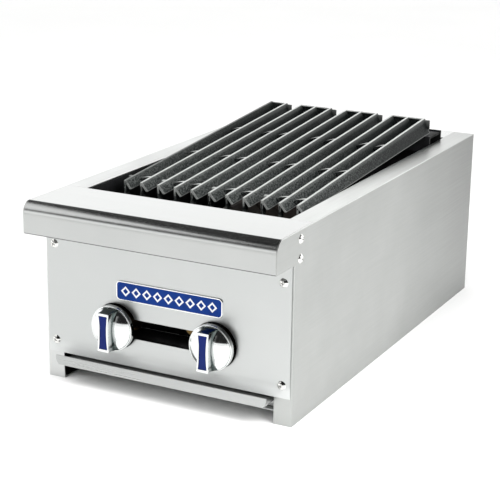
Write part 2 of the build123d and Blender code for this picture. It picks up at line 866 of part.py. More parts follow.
def grate(ridges, name):
    """One cast section: blades on front legs, joined by ties and a rear bar below the ridges."""
    with BuildPart() as casting:
        for x in ridges:
            loft(sections=[blade_section(x, ridge_front[0]), blade_section(x, ridge_rear[0])], ruled=True)
            leg_top = ridge_z(ridge_front[0]) - tie_drop
            block((x - web_half, ridge_front[0], leg_foot_z), (x + web_half, ridge_front[0] + leg_depth, leg_top))
        for x in ridges[:-1]:
            for distance in tie_rows:
                low = ridge_z(distance) - blade_height(distance) + tie_foot
                high = ridge_z(distance) - tie_drop
                block((x, distance - tie_width / 2, low), (x + blade_pitch, distance + tie_width / 2, high))
        rear = ridge_rear[1]
        block(
            (ridges[0] - web_half, ridge_rear[0] - rear_bar_width, rear - blade_rear_height),
            (ridges[-1] + web_half, ridge_rear[0], rear - rear_bar_drop),
        )
        stub = tie_rows[0]
        high = ridge_z(stub) - tie_drop
        block(
            (ridges[0] - front_stub_reach, stub - tie_width / 2, high - front_stub_height),
            (ridges[0], stub + tie_width / 2, high),
        )
    save(casting.part, name)


ridge_x = last_ridge_x - (len(grate_blades) - 1) * section_step
ridge_x -= (sum(grate_blades) - len(grate_blades)) * blade_pitch
for number, count in enumerate(grate_blades, start=1):
    grate([ridge_x + blade * blade_pitch for blade in range(count)], f"grate_{number}")
    ridge_x += (count - 1) * blade_pitch + section_step

# ---- Nameplate ----

plate_x = 5.4
plate_z = 117.4
plate_width = 131.0
plate_height = 21.8
plate_corner = 5.0
plate_border = 1.3
plate_thickness = 1.4
plate_recess = 0.6
field_thickness = 0.4


def rounded_plate(width, height, corner):
    """Outline of the nameplate or of its inset."""
    with Locations((plate_x, plate_z)):
        RectangleRounded(width, height, corner)


with BuildPart() as nameplate_frame:
    with BuildSketch(across(0)):
        rounded_plate(plate_width, plate_height, plate_corner)
    extrude(amount=plate_thickness)
    with BuildSketch(across(-plate_thickness)):
        rounded_plate(plate_width - 2 * plate_border, plate_height - 2 * plate_border, plate_corner - plate_border)
    extrude(amount=-plate_recess, mode=Mode.SUBTRACT)
save(nameplate_frame.part, "nameplate_frame")

with BuildPart() as nameplate_face:
    with BuildSketch(across(-plate_thickness + plate_recess)):
        rounded_plate(plate_width - 2 * plate_border, plate_height - 2 * plate_border, plate_corner - plate_border)
    extrude(amount=field_thickness)
save(nameplate_face.part, "nameplate_face")

# ---- Screws ----

recess_span = 4.6
recess_width = 0.9
recess_depth = 1.6
dome_mid_turn = 20.0


def screw(place, outward):
    """Truss-head screw with a cross recess; outward is the way its head faces."""
    seat = Plane(origin=place, z_dir=outward)
    head_sphere = (screw_head_radius**2 + screw_head_height**2) / (2 * screw_head_height)
    with BuildSketch(Plane(origin=place, x_dir=outward, z_dir=seat.x_dir)) as profile:
        with BuildLine():
            shank = Polyline(
                (screw_head_height, 0),
                (-screw_length, 0),
                (-screw_length, screw_shank_radius),
                (0, screw_shank_radius),
                (0, screw_head_radius),
            )
            lean = radians(dome_mid_turn)
            mid = (screw_head_height - head_sphere * (1 - cos(lean)), head_sphere * sin(lean))
            ThreePointArc(shank @ 1, mid, shank @ 0)
        make_face()
    revolve(profile.sketch, axis=Axis(place, outward))
    with BuildSketch(seat.offset(screw_head_height)) as recess:
        Rectangle(recess_span, recess_width)
        Rectangle(recess_width, recess_span)
    extrude(recess.sketch, amount=-recess_depth, mode=Mode.SUBTRACT)


with BuildPart() as front_screws:
    for side in (-1, 1):
        for height in front_screw_heights:
            screw((side * front_screw_x, behind(0), height), (0, -1, 0))
save(front_screws.part, "front_screws")

with BuildPart() as side_screws:
    for side in (-1, 1):
        for height in side_screw_heights:
            screw((side * half_width, behind(side_screw_behind), height), (side, 0, 0))
save(side_screws.part, "side_screws")

with BuildPart() as rear_screws:
    for side in (-1, 1):
        for height in rear_screw_heights:
            screw((side * front_screw_x, behind(body_depth), height), (0, 1, 0))
save(rear_screws.part, "rear_screws")
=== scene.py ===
import math

import bmesh
import bpy
from mathutils import Matrix, Vector


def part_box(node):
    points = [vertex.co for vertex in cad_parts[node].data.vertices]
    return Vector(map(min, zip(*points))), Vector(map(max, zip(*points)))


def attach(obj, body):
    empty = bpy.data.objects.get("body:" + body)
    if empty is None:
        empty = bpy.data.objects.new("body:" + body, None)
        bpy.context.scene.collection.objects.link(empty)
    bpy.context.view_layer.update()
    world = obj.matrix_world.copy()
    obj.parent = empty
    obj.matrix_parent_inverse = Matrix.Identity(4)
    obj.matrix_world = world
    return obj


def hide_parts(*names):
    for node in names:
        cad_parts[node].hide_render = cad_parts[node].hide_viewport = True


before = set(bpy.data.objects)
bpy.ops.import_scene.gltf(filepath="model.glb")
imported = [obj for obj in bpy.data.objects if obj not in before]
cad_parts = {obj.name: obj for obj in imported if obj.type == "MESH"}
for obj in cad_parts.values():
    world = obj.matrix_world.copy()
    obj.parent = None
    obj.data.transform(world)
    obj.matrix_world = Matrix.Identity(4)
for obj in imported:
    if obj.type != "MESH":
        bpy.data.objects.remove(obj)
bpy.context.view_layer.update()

mm = 0.001

# ---- Body sheets: side panels, back panel, base rail and tray runners ----
# The outer sheets are satin stainless, bent on a press brake with their cut edges broken.
# The hidden rail and runners are dull aluminised steel, spot-welded inside the base.


def place(tree, kind, inputs=None, **settings):
    """Adds a node, sets what it does, and gives each input a value or the socket it hangs from."""
    node = tree.nodes.new(kind)
    for name, value in settings.items():
        setattr(node, name, value)
    for name, value in (inputs or {}).items():
        if isinstance(value, bpy.types.NodeSocket):
            tree.links.new(value, node.inputs[name])
        else:
            node.inputs[name].default_value = value
    return node


def ramp(tree, value, start, end, low=0.0, high=1.0, **settings):
    """A value that runs from low to high as another one goes from start to end."""
    limits = {"Value": value, "From Min": start, "From Max": end, "To Min": low, "To Max": high}
    return place(tree, "ShaderNodeMapRange", limits, **settings).outputs[0]


def reckon(tree, operation, first, second, **settings):
    """What one sum makes of two values."""
    return place(tree, "ShaderNodeMath", {0: first, 1: second}, operation=operation, **settings).outputs[0]


def scaled(tree, vector, share):
    """A colour or a direction times a share."""
    return place(tree, "ShaderNodeVectorMath", {0: vector, "Scale": share}, operation="SCALE").outputs[0]


def mixed_colour(tree, share, low, high):
    """A colour between two others, each of them a socket or a plain red, green and blue."""
    low, high = [(*end, 1.0) if isinstance(end, tuple) else end for end in (low, high)]
    return place(tree, "ShaderNodeMix", {"Factor": share, 6: low, 7: high}, data_type="RGBA").outputs[2]


def roughen(tree, shader, strength, depth, height):
    """Gives a material's surface the relief of a height value."""
    bump = place(tree, "ShaderNodeBump", {"Strength": strength, "Distance": depth, "Height": height})
    tree.links.new(bump.outputs["Normal"], shader.inputs["Normal"])


def shared_effect(name, inputs, outputs):
    """An empty shader group with these named sockets, and its two end nodes."""
    tree = bpy.data.node_groups.new(name, "ShaderNodeTree")
    for label, kind, value in inputs:
        socket = tree.interface.new_socket(label, in_out="INPUT", socket_type=kind)
        if value is not None:
            socket.default_value = value
    for label, kind in outputs:
        tree.interface.new_socket(label, in_out="OUTPUT", socket_type=kind)
    return tree, tree.nodes.new("NodeGroupInput").outputs, tree.nodes.new("NodeGroupOutput").inputs


def rolled_grain():
    """Satin grain of rolled sheet: fine drawn lines, and broad soft clouds from rolling and wiping."""
    tree, given, made = shared_effect(
        "rolled_grain",
        [
            ("Place", "NodeSocketVector", None),
            ("Stretch", "NodeSocketVector", (4.0, 900.0, 900.0)),
            ("Cloud Size", "NodeSocketFloat", 9.0),
            ("Line Depth", "NodeSocketFloat", 0.1),
        ],
        [("Lines", "NodeSocketFloat"), ("Clouds", "NodeSocketFloat"), ("Normal", "NodeSocketVector")],
    )
    pull = {0: given["Place"], 1: given["Stretch"]}
    drawn = place(tree, "ShaderNodeVectorMath", pull, operation="MULTIPLY").outputs[0]
    lines = place(tree, "ShaderNodeTexNoise", {"Vector": drawn, "Scale": 1.0, "Detail": 3.0})
    spread = {"Vector": given["Place"], "Scale": given["Cloud Size"], "Detail": 4.0, "Roughness": 0.55}
    clouds = place(tree, "ShaderNodeTexNoise", spread)
    wave = {"Strength": 0.02, "Distance": 2 * mm, "Height": clouds.outputs["Fac"]}
    swell = place(tree, "ShaderNodeBump", wave).outputs["Normal"]
    line = {"Strength": given["Line Depth"], "Distance": 0.04 * mm, "Height": lines.outputs["Fac"]}
    scored = place(tree, "ShaderNodeBump", {**line, "Normal": swell})
    tree.links.new(lines.outputs["Fac"], made["Lines"])
    tree.links.new(clouds.outputs["Fac"], made["Clouds"])
    tree.links.new(scored.outputs["Normal"], made["Normal"])
    return tree


grain_group = rolled_grain()


def new_material(name, **constants):
    """A material with its Principled shader; the constants go straight on the shader's sockets."""
    material = bpy.data.materials.new(name)
    material.use_nodes = True
    tree = material.node_tree
    shader = tree.nodes["Principled BSDF"]
    for label, value in constants.items():
        shader.inputs[label.replace("_", " ")].default_value = value
    surface = tree.nodes.new("ShaderNodeTexCoord").outputs["Object"]
    return material, tree, shader, surface


def shade_between(tree, mask, low, high, socket, start=0.3, end=0.7):
    """Runs a colour or a value from low to high as the mask goes from start to end."""
    if isinstance(low, tuple):
        shade = mixed_colour(tree, ramp(tree, mask, start, end), low, high)
    else:
        shade = ramp(tree, mask, start, end, low, high)
    tree.links.new(shade, socket)
    return shade


def sheet_metal(name, stretch, dark, light, smooth, rough, cloud_size=9.0, line_depth=0.1, tones=()):
    """Rolled sheet whose colour and gloss wander with its grain, and whose tone changes along an axis."""
    material, tree, shader, surface = new_material(name, Metallic=1.0)
    looks = {"Place": surface, "Stretch": stretch, "Cloud Size": cloud_size, "Line Depth": line_depth}
    grain = place(tree, "ShaderNodeGroup", looks, node_tree=grain_group).outputs
    colour = shade_between(tree, grain["Clouds"], dark, light, shader.inputs["Base Color"])
    where = place(tree, "ShaderNodeSeparateXYZ", {0: surface}).outputs
    for axis, start, end, low, high in tones:
        colour = scaled(tree, colour, ramp(tree, where[axis], start, end, low, high))
    tree.links.new(colour, shader.inputs["Base Color"])
    blend = reckon(tree, "ADD", grain["Lines"], grain["Clouds"])
    shade_between(tree, blend, smooth, rough, shader.inputs["Roughness"], 0.7, 1.3)
    tree.links.new(grain["Normal"], shader.inputs["Normal"])
    return material


def painted_light_strip(material, axis, dull_at, metal_at, least):
    """Lets a sheet's bright metal give way along one axis to a plain diffuse surface: painted light, where
    the lamps light the sheet's own colour in place of the dark reflections that the metal would show.
    """
    tree = material.node_tree
    surface = place(tree, "ShaderNodeTexCoord").outputs["Object"]
    where = place(tree, "ShaderNodeSeparateXYZ", {0: surface}).outputs
    metal = ramp(tree, where[axis], dull_at, metal_at, least)
    tree.links.new(metal, tree.nodes["Principled BSDF"].inputs["Metallic"])


grain_across = (5.0, 900.0, 900.0)
grain_along = (900.0, 12.0, 900.0)
steel_dark = (0.51, 0.52, 0.515)
steel_light = (0.565, 0.575, 0.565)
stainless_across = sheet_metal("stainless_grain_across", grain_across, steel_dark, steel_light, 0.25, 0.35)
# The right side sheet is a darker copy of the stainless: painted shade. Its tones are painted light and shade
# as well: darker towards the rear, brighter low down where it would reflect the bright floor, and a painted
# highlight along the top edge of its fold.
side_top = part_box("side_panel_right")[1].z
side_rear = 0.26
right_side_painted_light_and_shade = sheet_metal(
    "stainless_grain_along",
    grain_along,
    (0.375, 0.385, 0.375),
    (0.435, 0.445, 0.435),
    0.30,
    0.42,
    13.0,
    tones=(
        ("Y", 0.0, side_rear, 1.0, 0.64),
        ("Z", 0.03, 0.13, 1.13, 1.0),
        ("Z", side_top - 1.2 * mm, side_top - 0.5 * mm, 1.0, 1.65),
    ),
)
stainless_left = sheet_metal(
    "stainless_grain_left", grain_along, (0.56, 0.57, 0.565), (0.61, 0.62, 0.61), 0.27, 0.42, 13.0
)
# Below the lip's reach the front panel is painted 12 % brighter and made nearly non-metallic: painted light
# that hides the dark reflection of the tray gap and of the shaded floor under it.
lip_reach = 40.0 * mm
strip_blend = 6 * mm
stainless_satin = sheet_metal(
    "stainless_satin",
    grain_across,
    (0.505, 0.52, 0.515),
    (0.54, 0.552, 0.545),
    0.30,
    0.37,
    7.0,
    0.05,
    tones=(("Z", lip_reach, lip_reach + strip_blend, 1.12, 1.0),),
)
painted_light_strip(stainless_satin, "Z", lip_reach, lip_reach + strip_blend, 0.05)
# The lowest 1.2 mm of the rail is painted dark: a painted shadow line where the rail's bottom edge meets the
# panel.
rail_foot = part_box("front_rail")[0].z
stainless_rail = sheet_metal(
    "stainless_rail",
    grain_across,
    (0.46, 0.47, 0.465),
    (0.505, 0.515, 0.507),
    0.20,
    0.27,
    line_depth=0.03,
    tones=(("Z", rail_foot + 0.5 * mm, rail_foot + 1.2 * mm, 0.25, 1.0),),
)
aluminised = sheet_metal(
    "aluminised_sheet", (300.0, 30.0, 300.0), (0.36, 0.37, 0.37), (0.48, 0.49, 0.49), 0.38, 0.55, 40.0
)


def finish_as(material, *nodes):
    """Gives CAD nodes their finished material."""
    for node in nodes:
        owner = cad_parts[node]
        for held in owner.material_slots:
            held.material = material


def put_in_scene(name, data):
    """A new object in the scene that shows this mesh, lamp or camera."""
    made = bpy.data.objects.new(name, data)
    bpy.context.scene.collection.objects.link(made)
    return made


def add_piece(name, mesh, material, body, slot, *nodes):
    """Puts a finished mesh in the scene, on its body, standing for its CAD nodes."""
    made = put_in_scene(name, mesh)
    mesh.materials.clear()
    mesh.materials.append(material)
    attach(made, body)
    if nodes:
        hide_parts(*nodes)
    return made


weld_reach = 0.002 * mm
flat_within = math.radians(1.0)
fold_smooth_below = math.radians(11.5)
corner_from = math.radians(40)


def broken_edge_sheet(name, node, material, edge, body="chassis", slot="stainless"):
    """A folded sheet as it leaves the bench: every sharp corner of the blank lightly rounded."""
    shell = bmesh.new()
    shell.from_mesh(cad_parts[node].data)
    bmesh.ops.remove_doubles(shell, verts=shell.verts, dist=weld_reach)
    bmesh.ops.dissolve_limit(shell, angle_limit=flat_within, verts=shell.verts, edges=shell.edges)
    mesh = bpy.data.meshes.new(name)
    shell.to_mesh(mesh)
    shell.free()
    mesh.shade_smooth()
    mesh.set_sharp_from_angle(angle=fold_smooth_below)
    sheet = add_piece(name, mesh, material, body, slot, node)
    rounding = sheet.modifiers.new("broken_edges", "BEVEL")
    rounding.width = edge
    rounding.segments = 2
    rounding.limit_method = "ANGLE"
    rounding.angle_limit = corner_from
    rounding.harden_normals = True
    rounding.use_clamp_overlap = True


sheet_edge = 0.35 * mm
broken_edge_sheet("side_sheet_left", "side_panel_left", stainless_left, sheet_edge)
broken_edge_sheet("side_sheet_right", "side_panel_right", right_side_painted_light_and_shade, sheet_edge)
broken_edge_sheet("back_sheet", "back_panel", stainless_across, sheet_edge)
finish_as(aluminised, "rear_base_rail", "tray_runner_left", "tray_runner_right")

# ---- Firebox: liners, grate rests and radiant ledges ----
# Thin steel sheets hung inside the body, blued and blackened by the burners' heat.
# The rests are folded angles across the box, which take the weight of the grates.


def soot_film():
    """Patchy film of soot and burnt-on grease, thicker in broad patches with specks in it."""
    tree, given, made = shared_effect(
        "soot_film",
        [
            ("Place", "NodeSocketVector", None),
            ("Patch Size", "NodeSocketFloat", 30.0),
            ("Speck Size", "NodeSocketFloat", 400.0),
        ],
        [("Cover", "NodeSocketFloat"), ("Specks", "NodeSocketFloat")],
    )
    patches = place(
        tree,
        "ShaderNodeTexNoise",
        {"Vector": given["Place"], "Scale": given["Patch Size"], "Detail": 6.0, "Roughness": 0.6},
    )
    specks = place(tree, "ShaderNodeTexVoronoi", {"Vector": given["Place"], "Scale": given["Speck Size"]})
    tree.links.new(patches.outputs["Fac"], made["Cover"])
    tree.links.new(specks.outputs["Distance"], made["Specks"])
    return tree


soot_group = soot_film()


def burnt_metal(name, clean, burnt, smooth, rough, metallic, patch=30.0, speck=400.0, relief=0.2 * mm):
    """Metal that has been near the flames: two tones in patches, with a scaly skin."""
    material, tree, shader, surface = new_material(name, Metallic=metallic)
    looks = {"Place": surface, "Patch Size": patch, "Speck Size": speck}
    film_and_painted_shade = place(tree, "ShaderNodeGroup", looks, node_tree=soot_group).outputs
    shade_between(tree, film_and_painted_shade["Cover"], clean, burnt, shader.inputs["Base Color"])
    shade_between(tree, film_and_painted_shade["Cover"], smooth, rough, shader.inputs["Roughness"])
    roughen(tree, shader, 0.5, relief, film_and_painted_shade["Specks"])
    return material


liner_black = burnt_metal(
    "heat_blacked_liner", (0.030, 0.031, 0.034), (0.009, 0.009, 0.009), 0.42, 0.75, 0.55
)
finish_as(
    liner_black,
    "firebox_liner_left",
    "firebox_liner_right",
    "firebox_liner_front",
    "firebox_liner_rear",
    "front_grate_rest",
    "rear_grate_rest",
    "radiant_ledge_front",
    "radiant_ledge_rear",
)

# ---- Gas supply: manifold, valves, orifices and pilot ----
# Black iron pipe screwed together along the front, with turned brass valves on top of it.
# The pilot is fed by its own small valve through a drawn aluminium tube.

fine_speck = 1500.0
black_pipe = burnt_metal(
    "black_iron_pipe", (0.035, 0.036, 0.038), (0.018, 0.017, 0.016), 0.35, 0.6, 0.8, 60.0, 900.0
)
valve_brass = burnt_metal(
    "turned_brass", (0.20, 0.135, 0.055), (0.13, 0.085, 0.035), 0.30, 0.48, 1.0, 45.0, fine_speck, 0.04 * mm
)
pilot_aluminium = burnt_metal(
    "drawn_tube", (0.66, 0.66, 0.66), (0.50, 0.50, 0.49), 0.28, 0.45, 1.0, 80.0, fine_speck, 0.04 * mm
)
turned_steel = burnt_metal(
    "turned_steel", (0.55, 0.55, 0.55), (0.42, 0.42, 0.42), 0.22, 0.4, 1.0, 90.0, fine_speck, 0.03 * mm
)
finish_as(black_pipe, "manifold_pipe", "manifold_cap", "manifold_elbow", "gas_inlet_pipe")
finish_as(valve_brass, "valve_left", "valve_right", "orifice_left", "orifice_right", "pilot_valve")
finish_as(pilot_aluminium, "pilot_tube")
finish_as(turned_steel, "valve_stem_left", "valve_stem_right", "pilot_burner")

# ---- Burners and radiants ----
# Steel tube burners with a mixing bell and an air shutter at the front, straw and blue from heat.
# A cast iron tent lies over each burner and glows through its rows of slots.

burner_steel = burnt_metal("heat_tinted_tube", (0.30, 0.27, 0.24), (0.12, 0.115, 0.12), 0.35, 0.6, 0.9)
finish_as(burner_steel, "burner_left", "burner_right", "air_shutter_left", "air_shutter_right", "burner_rest")


def cast_skin():
    """Skin of a sand casting: a fine gritty surface over broad colour patches."""
    tree, given, made = shared_effect(
        "cast_skin",
        [
            ("Place", "NodeSocketVector", None),
            ("Grit Size", "NodeSocketFloat", 1100.0),
            ("Grit Depth", "NodeSocketFloat", 0.5),
        ],
        [("Grit", "NodeSocketFloat"), ("Patches", "NodeSocketFloat"), ("Normal", "NodeSocketVector")],
    )
    grit = place(
        tree,
        "ShaderNodeTexNoise",
        {"Vector": given["Place"], "Scale": given["Grit Size"], "Detail": 3.0, "Roughness": 0.7},
    )
    patches = place(tree, "ShaderNodeTexNoise", {"Vector": given["Place"], "Scale": 38.0, "Detail": 4.0})
    raised = place(
        tree,
        "ShaderNodeBump",
        {"Strength": given["Grit Depth"], "Distance": 0.0003, "Height": grit.outputs["Fac"]},
    )
    tree.links.new(grit.outputs["Fac"], made["Grit"])
    tree.links.new(patches.outputs["Fac"], made["Patches"])
    tree.links.new(raised.outputs["Normal"], made["Normal"])
    return tree


cast_group = cast_skin()
radiant_iron, tree, shader, surface = new_material("cast_radiant_iron", Metallic=0.4)
skin = place(tree, "ShaderNodeGroup", {"Place": surface}, node_tree=cast_group).outputs
radiant_dark = (0.045, 0.040, 0.037)
radiant_light = (0.085, 0.070, 0.060)
shade_between(tree, skin["Patches"], radiant_dark, radiant_light, shader.inputs["Base Color"])
shade_between(tree, skin["Grit"], 0.55, 0.8, shader.inputs["Roughness"])
tree.links.new(skin["Normal"], shader.inputs["Normal"])
finish_as(radiant_iron, "radiant_left", "radiant_right")

# ---- Cooking grates: four lift-out sections of sloping blades ----
# Each section is one iron casting. Its blades are plates that slope to the right under a narrow
# ridge, tied together in three rows and at the rear, and the ridges are worn bright by the scraper.

blade_counts = (2, 3, 3, 3)
blade_pitch = 21.5 * mm
section_step = 22.3 * mm
section_low, section_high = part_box("grate_1")
blade_front = section_low.y
blade_rear = section_high.y
ridge_front_z = 213.2 * mm
ridge_rear_z = section_high.z
blade_front_height = 10.0 * mm
blade_rear_height = 19.0 * mm
first_ridge = -107.5 * mm
leg_foot = section_low.z
leg_half = 1.1 * mm
leg_depth = 9 * mm
bar_front = blade_rear - 3.4 * mm
bar_back = blade_rear - 0.1 * mm
tie_shares = (0.071, 0.364, 0.663)


def ridge_line(y):
    """Height of the ridge, and of the blade under it, at this place along its length."""
    share = (y - blade_front) / (blade_rear - blade_front)
    top = ridge_front_z + share * (ridge_rear_z - ridge_front_z)
    return top, blade_front_height + share * (blade_rear_height - blade_front_height)


def blade_rim(y):
    """Points round a blade: worn crown, sloping plate, hollow underside and thin web."""
    top, height = ridge_line(y)
    foot = top - height
    hollow = foot + 0.68 * (height - 1.4 * mm)
    return (
        (-1.35 * mm, top - 0.75 * mm, 0.2),
        (-1.15 * mm, top - 0.2 * mm, 1.0),
        (-0.5 * mm, top, 1.0),
        (0.6 * mm, top, 1.0),
        (1.15 * mm, top - 0.2 * mm, 1.0),
        (1.5 * mm, top - 0.6 * mm, 0.1),
        (3.6 * mm, top - 0.30 * height, 0.0),
        (5.9 * mm, top - 0.60 * height, 0.0),
        (8.2 * mm, foot + 1.5 * mm, 0.0),
        (8.6 * mm, foot + 0.9 * mm, 0.25),
        (8.5 * mm, foot + 0.25 * mm, 0.25),
        (8.1 * mm, foot, 0.0),
        (6.6 * mm, foot, 0.0),
        (6.1 * mm, foot + 0.4 * mm, 0.0),
        (1.5 * mm, hollow, 0.0),
        (1.1 * mm, hollow - 0.9 * mm, 0.0),
        (1.1 * mm, foot, 0.0),
        (-1.1 * mm, foot, 0.0),
        (-1.2 * mm, top - 0.4 * height, 0.0),
    )


soft_below = math.radians(28)


def bridge(shape, rings):
    """Faces between each ring of points and the next one."""
    for ring, after in zip(rings, rings[1:]):
        for here in range(len(ring)):
            there = (here + 1) % len(ring)
            shape.faces.new((ring[here], ring[there], after[there], after[here]))


def close_ends(shape, rings):
    """Flat ends over the first ring and the last."""
    ends = [shape.faces.new(rings[0]), shape.faces.new(rings[-1])]
    bmesh.ops.triangulate(shape, faces=ends)


def mesh_from(shape, name):
    """Closes a bmesh into a smooth-shaded mesh whose faces point outwards."""
    bmesh.ops.recalc_face_normals(shape, faces=shape.faces)
    mesh = bpy.data.meshes.new(name)
    shape.to_mesh(mesh)
    shape.free()
    mesh.shade_smooth()
    mesh.set_sharp_from_angle(angle=soft_below)
    return mesh


def wear_and_shade_marks(shape):
    """The value on each point that says how worn the iron is (above 0), and below 0 how far it is darkened by
    painted shade together with soot.
    """
    layers = shape.verts.layers.float
    return layers.get("worn") or layers.new("worn")


def rounded_block(shape, low, high, radius, worn=0.0):
    """A block with rounded edges between two corners; the wear-and-shade value goes on its top."""
    marks = wear_and_shade_marks(shape)
    size = [b - a for a, b in zip(low, high)]
    middle = Vector([(a + b) / 2 for a, b in zip(low, high)])
    matrix = Matrix.Translation(middle) @ Matrix.Diagonal((*size, 1.0))
    corners = bmesh.ops.create_cube(shape, size=1.0, matrix=matrix)["verts"]
    for corner in corners:
        if corner.co.z > middle.z:
            corner[marks] = worn
    edges = {edge for corner in corners for edge in corner.link_edges}
    bmesh.ops.bevel(shape, geom=list(edges), offset=radius, segments=2, profile=0.5, affect="EDGES")


def cast_blade():
    """One blade with its front leg, drawn on the line x = 0."""
    shape = bmesh.new()
    marks = wear_and_shade_marks(shape)
    length = blade_rear - blade_front
    edge = 1.2 * mm
    steps = 44
    inner = [blade_front + edge + (length - 2 * edge) * number / steps for number in range(steps + 1)]
    rings = []
    for y in [blade_front, *inner, blade_rear]:
        rim = blade_rim(y)
        cut = y in (blade_front, blade_rear)
        shrink = 0.95 if cut else 1.0
        middle_x = sum(point[0] for point in rim) / len(rim)
        middle_z = sum(point[1] for point in rim) / len(rim)
        ring = []
        for x, z, worn in rim:
            place_x = middle_x + (x - middle_x) * shrink
            place_z = middle_z + (z - middle_z) * shrink
            vertex = shape.verts.new((place_x, y, place_z))
            vertex[marks] = max(worn, 0.4) if cut and x > 0 else worn
            ring.append(vertex)
        rings.append(ring)
    bridge(shape, rings)
    close_ends(shape, rings)
    top = ridge_line(blade_front)[0]
    leg_low = (-leg_half, blade_front, leg_foot)
    leg_high = (leg_half, blade_front + leg_depth, top - 3 * mm)
    # The leg's top is marked fully dark, fading toward its foot: painted shade under the ridge, with soot;
    # its edges are roughened so they catch no highlight.
    rounded_block(shape, leg_low, leg_high, 0.4 * mm, -1.0)
    return mesh_from(shape, "cast_blade")


def tie_places():
    """Distances along the blades at which the cast ties cross, worked out from the blade's ends."""
    length = blade_rear - blade_front
    return [blade_front + length * share for share in tie_shares]


def tie_web(shape, y, start, end):
    """A tie across a trough: a web that climbs from one blade's plate to the next blade's ridge."""
    top, height = ridge_line(y)
    marks = wear_and_shade_marks(shape)
    steps = 8
    rings = []
    for number in range(steps + 1):
        share = number / steps
        x = start + (end - start) * share
        crown = top - 0.9 * mm - (0.40 * height) * (1 - share) ** 1.6
        foot = top - height + 0.8 * mm
        half = (1.4 + 1.8 * share**3) * mm
        bright = max(0.0, 2.3 * share - 0.5)
        # The front face of the tie is painted darker toward the next blade: painted shade for the hollow
        # under that ridge. Its crown is worn bright.
        outline = (
            (-half, foot, -2.0 * share),
            (half, foot, 0.0),
            (half, crown - 0.7 * mm, 0.2 * bright),
            (0.55 * half, crown, bright),
            (-0.55 * half, crown, bright),
            (-half, crown - 1.0 * mm, -1.2 * share),
        )
        ring = []
        for along, z, worn in outline:
            vertex = shape.verts.new((x, y + along, z))
            vertex[marks] = worn
            ring.append(vertex)
        rings.append(ring)
    bridge(shape, rings)
    shape.faces.new(rings[0])
    shape.faces.new(rings[-1])


def cast_links():
    """What joins one blade to the next: three ties, and the rear bar with its scraped lip."""
    shape = bmesh.new()
    for y in tie_places():
        tie_web(shape, y, 2.0 * mm, blade_pitch)
    top, height = ridge_line(blade_rear)
    bar_low = (0.0, bar_front, top - height + 0.5 * mm)
    bar_high = (blade_pitch, bar_back, top - 0.8 * mm)
    # The rear bar is marked below zero: painted shade for its face, which stands in shadow. Its lip is worn
    # bright.
    rounded_block(shape, bar_low, bar_high, 0.5 * mm, -0.5)
    lip_low = (0.0, bar_front - 0.2 * mm, top - 1.7 * mm)
    lip_high = (blade_pitch, bar_front + 1.1 * mm, top - 0.7 * mm)
    rounded_block(shape, lip_low, lip_high, 0.3 * mm, 0.8)
    return mesh_from(shape, "cast_links")


def cast_stub():
    """Short tie stub that stands out to the left of a section's first blade."""
    shape = bmesh.new()
    y = tie_places()[0]
    top = ridge_line(y)[0]
    low = (-10 * mm, y - 2.1 * mm, top - 7 * mm)
    high = (0.0, y + 2.1 * mm, top - 3 * mm)
    rounded_block(shape, low, high, 0.7 * mm, 0.8)
    return mesh_from(shape, "cast_stub")


def cast_lug():
    """Lifting lug at the rear end of a section's last blade."""
    shape = bmesh.new()
    top = ridge_line(blade_rear)[0]
    low = (1.5 * mm, bar_front, top - 13 * mm)
    high = (8.4 * mm, bar_back, top - 2 * mm)
    rounded_block(shape, low, high, 0.7 * mm, 0.1)
    return mesh_from(shape, "cast_lug")


def nodes_tree(name, inputs):
    """An empty Geometry Nodes tree with these named inputs, and its two end nodes."""
    tree = bpy.data.node_groups.new(name, "GeometryNodeTree")
    for label, kind in inputs:
        tree.interface.new_socket(label, in_out="INPUT", socket_type=kind)
    tree.interface.new_socket("Geometry", in_out="OUTPUT", socket_type="NodeSocketGeometry")
    return tree, tree.nodes.new("NodeGroupInput").outputs, tree.nodes.new("NodeGroupOutput").inputs


def row_of_copies(tree, shape, count, start, step):
    """Copies of a lent shape at an even spacing."""
    lent = place(tree, "GeometryNodeObjectInfo", {"Object": shape, "As Instance": True})
    line = {"Count": count, "Start Location": start, "Offset": step}
    row = place(tree, "GeometryNodeMeshLine", line)
    stood = {"Points": row.outputs["Mesh"], "Instance": lent.outputs["Geometry"]}
    return place(tree, "GeometryNodeInstanceOnPoints", stood).outputs["Instances"]


def hand_over(tree, geometry, given, made):
    """Coats what the tree has made with its given material and sends it out."""
    coated = place(tree, "GeometryNodeSetMaterial", {"Geometry": geometry, "Material": given["Material"]})
    tree.links.new(coated.outputs["Geometry"], made["Geometry"])


